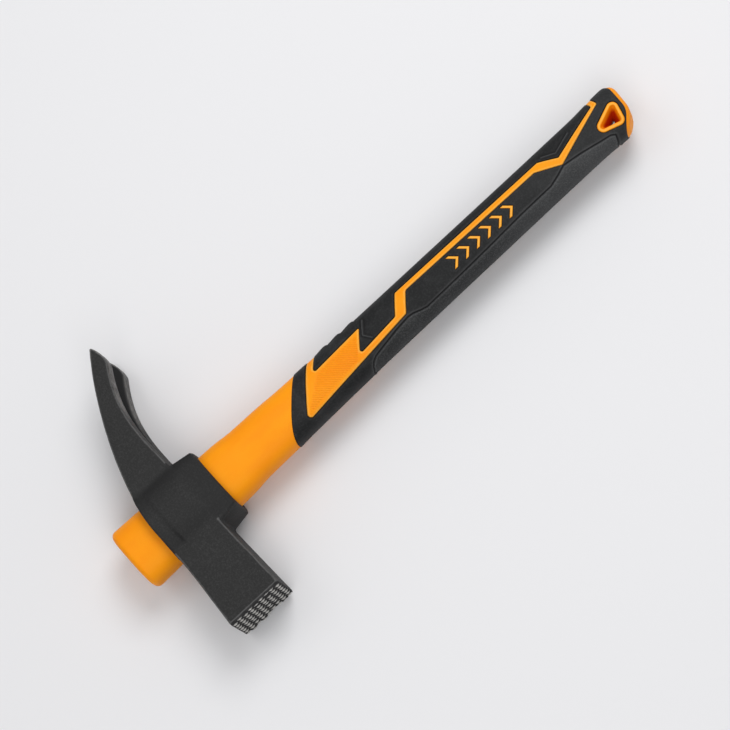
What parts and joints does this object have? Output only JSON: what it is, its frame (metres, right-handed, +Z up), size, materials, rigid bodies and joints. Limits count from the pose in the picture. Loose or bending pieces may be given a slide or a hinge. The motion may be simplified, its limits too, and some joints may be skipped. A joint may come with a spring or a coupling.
{
  "type": "claw hammer",
  "caption": "Formwork claw hammer with a milled square face, a curved split claw, and a tapered two-material handle that passes through the eye, with a hang hole at the butt.",
  "frame": {"origin": "under the middle of the hammer's box, on the surface it lies on", "axes": "the hammer lies on its side; +X along the handle to the butt, +Y towards the claw, -Y towards the striking face, +Z up"},
  "size_m": [0.319, 0.1488, 0.037],
  "materials": {
    "forged_steel": "forged steel under a matt dark grey powder coat, bare and worn on the teeth and the claw's edges",
    "epoxy": "cured epoxy",
    "fibreglass": "pultruded glass fibre rod",
    "orange_plastic": "satin moulded polypropylene",
    "soft_grip": "soft-touch moulded elastomer, fine matt grain"
  },
  "bodies": {
    "root": {"hammer_head": "forged_steel", "eye_bond": "epoxy", "handle_core": "fibreglass", "handle_jacket": "orange_plastic", "grip_main": "soft_grip", "grip_island": "soft_grip"}
  },
  "joints": []
}
